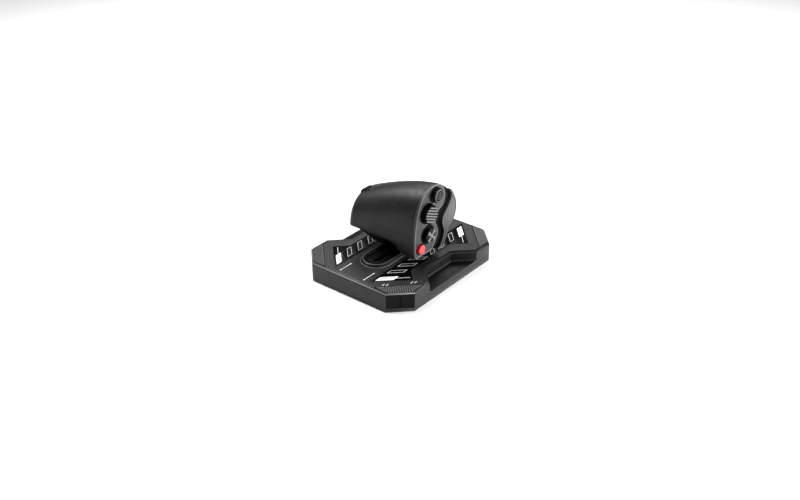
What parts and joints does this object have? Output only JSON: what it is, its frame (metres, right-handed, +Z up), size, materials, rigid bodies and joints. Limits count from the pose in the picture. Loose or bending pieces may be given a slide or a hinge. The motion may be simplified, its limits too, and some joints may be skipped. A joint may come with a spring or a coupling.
{
  "type": "flight joystick",
  "caption": "Desk flight controller: octagonal base with two key strips and a horizontal hand grip on a sliding lever, with mini stick, hat, knob, button and dial.",
  "frame": {"origin": "centre of the base's footprint, on the desk under the rubber feet", "axes": "+Z up, +Y away from the user along the throttle's slide, +X to the user's right"},
  "size_m": [0.176, 0.215, 0.1373],
  "materials": {
    "shell_plastic": "fine matte texture",
    "plate_plastic": "matte",
    "trim_plastic": "satin",
    "cap_plastic": "cross-hatched matte",
    "strip_gloss": "gloss",
    "key_black": "satin gloss with white outline",
    "key_white": "gloss",
    "grip_plastic": "soft-touch satin",
    "panel_plastic": "satin",
    "core_plastic": "matte",
    "control_plastic": "satin",
    "control_rubber": "matte",
    "red_gloss": "satin gloss",
    "slide_plastic": "smooth",
    "switch_plastic": "matte",
    "board": "solder mask",
    "rubber": "matte",
    "steel": "plated",
    "blade_steel": "black powder coat",
    "bronze": "sintered"
  },
  "bodies": {
    "base": {"base_top_shell": "shell_plastic", "base_bottom_plate": "plate_plastic", "rubber_feet": "rubber", "base_screws": "steel", "ballast_plates": "steel", "main_board": "board", "usb_socket": "steel", "slide_sensor_board": "board", "slot_collar": "trim_plastic", "slot_lip_seal": "rubber", "left_key_strip": "strip_gloss", "right_key_strip": "strip_gloss", "key_boards": "board", "key_switches": "switch_plastic", "front_left_corner_cap": "cap_plastic", "front_right_corner_cap": "cap_plastic", "rear_left_corner_cap": "cap_plastic", "rear_right_corner_cap": "cap_plastic", "guide_rods": "steel", "rod_blocks": "plate_plastic", "end_bumpers": "rubber"},
    "throttle": {"carriage": "slide_plastic", "slide_bushes": "bronze", "position_magnet": "steel", "friction_pads": "slide_plastic", "lever_blade": "blade_steel", "neck_fairing": "trim_plastic", "grip_core": "core_plastic", "palm_shell": "grip_plastic", "finger_shell": "grip_plastic", "thumb_panel": "panel_plastic", "thumb_board": "board", "grip_screws": "steel", "knob_potentiometer": "switch_plastic", "mini_stick_yoke": "slide_plastic", "hat_yoke": "slide_plastic", "dial_encoder": "switch_plastic"},
    "mini_stick_ring": {"mini_stick_gimbal": "slide_plastic"},
    "mini_stick": {"mini_stick_cap": "control_rubber"},
    "hat_ring": {"hat_gimbal": "slide_plastic"},
    "hat": {"hat_cap": "control_plastic"},
    "knob": {"range_knob": "control_plastic"},
    "button": {"red_button": "red_gloss"},
    "dial": {"left_dial": "control_plastic"},
    "left_front_key_1_body": {"left_front_key_1": "key_white"},
    "left_front_key_2_body": {"left_front_key_2": "key_black"},
    "left_front_key_3_body": {"left_front_key_3": "key_black"},
    "left_front_key_4_body": {"left_front_key_4": "key_black"},
    "left_rear_key_1_body": {"left_rear_key_1": "key_white"},
    "left_rear_key_2_body": {"left_rear_key_2": "key_black"},
    "left_rear_key_3_body": {"left_rear_key_3": "key_black"},
    "left_rear_key_4_body": {"left_rear_key_4": "key_black"},
    "right_front_key_1_body": {"right_front_key_1": "key_white"},
    "right_front_key_2_body": {"right_front_key_2": "key_black"},
    "right_front_key_3_body": {"right_front_key_3": "key_black"},
    "right_front_key_4_body": {"right_front_key_4": "key_black"},
    "right_rear_key_1_body": {"right_rear_key_1": "key_white"},
    "right_rear_key_2_body": {"right_rear_key_2": "key_black"},
    "right_rear_key_3_body": {"right_rear_key_3": "key_black"},
    "right_rear_key_4_body": {"right_rear_key_4": "key_black"}
  },
  "joints": [
    {"name": "throttle_slide", "type": "slide", "parent": "base", "child": "throttle", "axis": [0, 1, 0], "range_m": [-0.04, 0.04]},
    {"name": "mini_stick_up_down", "type": "hinge", "parent": "throttle", "child": "mini_stick_ring", "pos_m": [0.047, -0.0016, 0.1232], "axis": [0, 1, 0], "range_deg": [-12, 12], "stiffness_Nm_per_rad": 0.02},
    {"name": "mini_stick_fore_aft", "type": "hinge", "parent": "mini_stick_ring", "child": "mini_stick", "pos_m": [0.047, -0.0016, 0.1232], "axis": [0, 0, 1], "range_deg": [-12, 12], "stiffness_Nm_per_rad": 0.02},
    {"name": "hat_up_down", "type": "hinge", "parent": "throttle", "child": "hat_ring", "pos_m": [0.047, -0.0162, 0.072], "axis": [0, 1, 0], "range_deg": [-8, 8], "stiffness_Nm_per_rad": 0.04},
    {"name": "hat_fore_aft", "type": "hinge", "parent": "hat_ring", "child": "hat", "pos_m": [0.047, -0.0162, 0.072], "axis": [0, 0, 1], "range_deg": [-8, 8], "stiffness_Nm_per_rad": 0.04},
    {"name": "range_knob_turn", "type": "hinge", "parent": "throttle", "child": "knob", "pos_m": [0.047, -0.0176, 0.1028], "axis": [1, 0, 0], "range_deg": [-135, 135]},
    {"name": "red_button_press", "type": "slide", "parent": "throttle", "child": "button", "axis": [-1, 0, 0], "range_m": [0, 0.0015], "stiffness_N_per_m": 400, "springref_m": -0.002},
    {"name": "left_dial_turn", "type": "hinge", "parent": "throttle", "child": "dial", "pos_m": [-0.0445, -0.012, 0.097], "axis": [0, 1, 0], "continuous": true},
    {"name": "left_front_key_1_press", "type": "slide", "parent": "base", "child": "left_front_key_1_body", "axis": [0, 0, -1], "range_m": [0, 0.0008], "stiffness_N_per_m": 600, "springref_m": -0.0012},
    {"name": "left_front_key_2_press", "type": "slide", "parent": "base", "child": "left_front_key_2_body", "axis": [0, 0, -1], "range_m": [0, 0.0008], "stiffness_N_per_m": 600, "springref_m": -0.0012},
    {"name": "left_front_key_3_press", "type": "slide", "parent": "base", "child": "left_front_key_3_body", "axis": [0, 0, -1], "range_m": [0, 0.0008], "stiffness_N_per_m": 600, "springref_m": -0.0012},
    {"name": "left_front_key_4_press", "type": "slide", "parent": "base", "child": "left_front_key_4_body", "axis": [0, 0, -1], "range_m": [0, 0.0008], "stiffness_N_per_m": 600, "springref_m": -0.0012},
    {"name": "left_rear_key_1_press", "type": "slide", "parent": "base", "child": "left_rear_key_1_body", "axis": [0, 0, -1], "range_m": [0, 0.0008], "stiffness_N_per_m": 600, "springref_m": -0.0012},
    {"name": "left_rear_key_2_press", "type": "slide", "parent": "base", "child": "left_rear_key_2_body", "axis": [0, 0, -1], "range_m": [0, 0.0008], "stiffness_N_per_m": 600, "springref_m": -0.0012},
    {"name": "left_rear_key_3_press", "type": "slide", "parent": "base", "child": "left_rear_key_3_body", "axis": [0, 0, -1], "range_m": [0, 0.0008], "stiffness_N_per_m": 600, "springref_m": -0.0012},
    {"name": "left_rear_key_4_press", "type": "slide", "parent": "base", "child": "left_rear_key_4_body", "axis": [0, 0, -1], "range_m": [0, 0.0008], "stiffness_N_per_m": 600, "springref_m": -0.0012},
    {"name": "right_front_key_1_press", "type": "slide", "parent": "base", "child": "right_front_key_1_body", "axis": [0, 0, -1], "range_m": [0, 0.0008], "stiffness_N_per_m": 600, "springref_m": -0.0012},
    {"name": "right_front_key_2_press", "type": "slide", "parent": "base", "child": "right_front_key_2_body", "axis": [0, 0, -1], "range_m": [0, 0.0008], "stiffness_N_per_m": 600, "springref_m": -0.0012},
    {"name": "right_front_key_3_press", "type": "slide", "parent": "base", "child": "right_front_key_3_body", "axis": [0, 0, -1], "range_m": [0, 0.0008], "stiffness_N_per_m": 600, "springref_m": -0.0012},
    {"name": "right_front_key_4_press", "type": "slide", "parent": "base", "child": "right_front_key_4_body", "axis": [0, 0, -1], "range_m": [0, 0.0008], "stiffness_N_per_m": 600, "springref_m": -0.0012},
    {"name": "right_rear_key_1_press", "type": "slide", "parent": "base", "child": "right_rear_key_1_body", "axis": [0, 0, -1], "range_m": [0, 0.0008], "stiffness_N_per_m": 600, "springref_m": -0.0012},
    {"name": "right_rear_key_2_press", "type": "slide", "parent": "base", "child": "right_rear_key_2_body", "axis": [0, 0, -1], "range_m": [0, 0.0008], "stiffness_N_per_m": 600, "springref_m": -0.0012},
    {"name": "right_rear_key_3_press", "type": "slide", "parent": "base", "child": "right_rear_key_3_body", "axis": [0, 0, -1], "range_m": [0, 0.0008], "stiffness_N_per_m": 600, "springref_m": -0.0012},
    {"name": "right_rear_key_4_press", "type": "slide", "parent": "base", "child": "right_rear_key_4_body", "axis": [0, 0, -1], "range_m": [0, 0.0008], "stiffness_N_per_m": 600, "springref_m": -0.0012}
  ]
}
